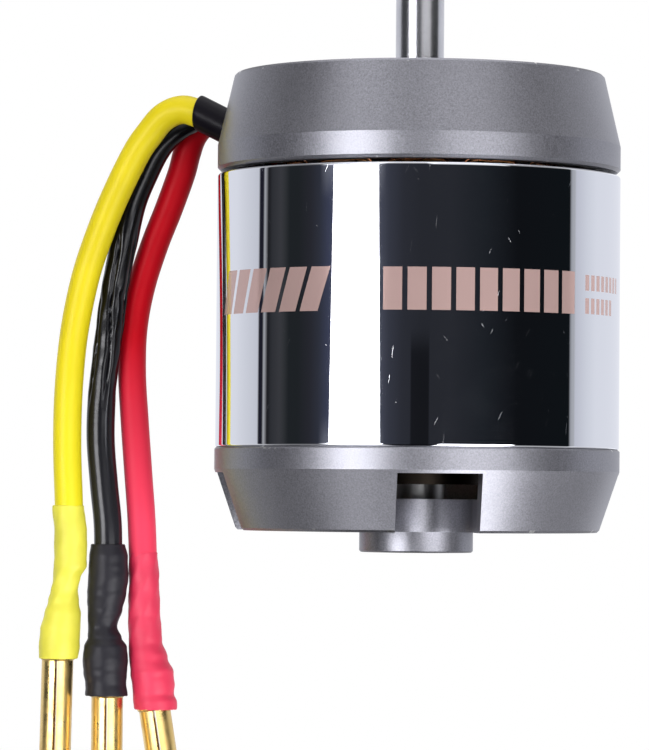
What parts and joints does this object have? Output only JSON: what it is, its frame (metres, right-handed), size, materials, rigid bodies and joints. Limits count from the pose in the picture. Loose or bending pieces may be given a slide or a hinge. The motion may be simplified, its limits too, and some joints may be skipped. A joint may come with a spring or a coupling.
{
  "type": "brushless outrunner motor",
  "caption": "Brushless outrunner motor: fixed cone mount with threaded face, turning can and slotted rear bell, steel shaft, flying leads with bullet plugs.",
  "frame": {"origin": "centre of the mounting face, on the shaft axis", "axes": "+Z along the shaft, out of the mounting face; the leads leave 20 degrees from -X towards +Y"},
  "size_m": [0.0731, 0.0502, 0.1157],
  "materials": {
    "anodised_mount": "bead blasted, grey anodised",
    "anodised_bell": "bead blasted, grey anodised",
    "polished_can": "mirror polished steel",
    "lamination_steel": "stacked laminations",
    "insulator": "glass epoxy sheet",
    "enamelled_copper": "clear enamelled round copper wire",
    "bearing_steel": "ground",
    "bearing_balls": "lapped",
    "bearing_cage": "pressed",
    "bearing_shield": "pressed sheet",
    "magnet_plating": "nickel plated",
    "shaft_steel": "centreless ground",
    "spacer_steel": "turned",
    "spring_steel": "blackened spring steel",
    "black_oxide": "black oxide",
    "sleeve_black": "shrunk polyolefin",
    "lead_yellow": "tubing over stranded copper",
    "lead_black": "tubing over stranded copper",
    "lead_red": "tubing over stranded copper",
    "shrink_yellow": "shrink tube",
    "shrink_black": "shrink tube",
    "shrink_red": "shrink tube",
    "gold_plating": "gold plated"
  },
  "bodies": {
    "stator": {"front_mount": "anodised_mount", "stator_core": "lamination_steel", "front_insulator": "insulator", "rear_insulator": "insulator", "phase_a_coils": "enamelled_copper", "phase_b_coils": "enamelled_copper", "phase_c_coils": "enamelled_copper", "front_bearing_outer_race": "bearing_steel", "front_bearing_shields": "bearing_shield", "rear_bearing_outer_race": "bearing_steel", "rear_bearing_shields": "bearing_shield", "lead_sleeve": "sleeve_black", "lead_yellow": "lead_yellow", "lead_black": "lead_black", "lead_red": "lead_red", "shrink_yellow": "shrink_yellow", "shrink_black": "shrink_black", "shrink_red": "shrink_red", "bullet_yellow": "gold_plating", "bullet_black": "gold_plating", "bullet_red": "gold_plating"},
    "rotor": {"flux_ring": "polished_can", "magnets": "magnet_plating", "rear_bell": "anodised_bell", "shaft": "shaft_steel", "rear_spacer": "spacer_steel", "front_shim": "spacer_steel", "retaining_clip": "spring_steel", "grub_screws": "black_oxide", "front_bearing_inner_race": "bearing_steel", "rear_bearing_inner_race": "bearing_steel"},
    "front_ball_set": {"front_bearing_balls": "bearing_balls", "front_bearing_cage": "bearing_cage"},
    "rear_ball_set": {"rear_bearing_balls": "bearing_balls", "rear_bearing_cage": "bearing_cage"}
  },
  "joints": [
    {"name": "rotor_spin", "type": "hinge", "parent": "stator", "child": "rotor", "pos_m": [0, 0, 0], "axis": [0, 0, 1], "continuous": true},
    {"name": "front_balls_orbit", "type": "hinge", "parent": "stator", "child": "front_ball_set", "pos_m": [0, 0, -0.0041], "axis": [0, 0, 1], "continuous": true},
    {"name": "rear_balls_orbit", "type": "hinge", "parent": "stator", "child": "rear_ball_set", "pos_m": [0, 0, -0.0482], "axis": [0, 0, 1], "continuous": true}
  ],
  "couplings": [
    {"joint": "front_balls_orbit", "follows": "rotor_spin", "ratio": 0.38667},
    {"joint": "rear_balls_orbit", "follows": "rotor_spin", "ratio": 0.38667}
  ]
}
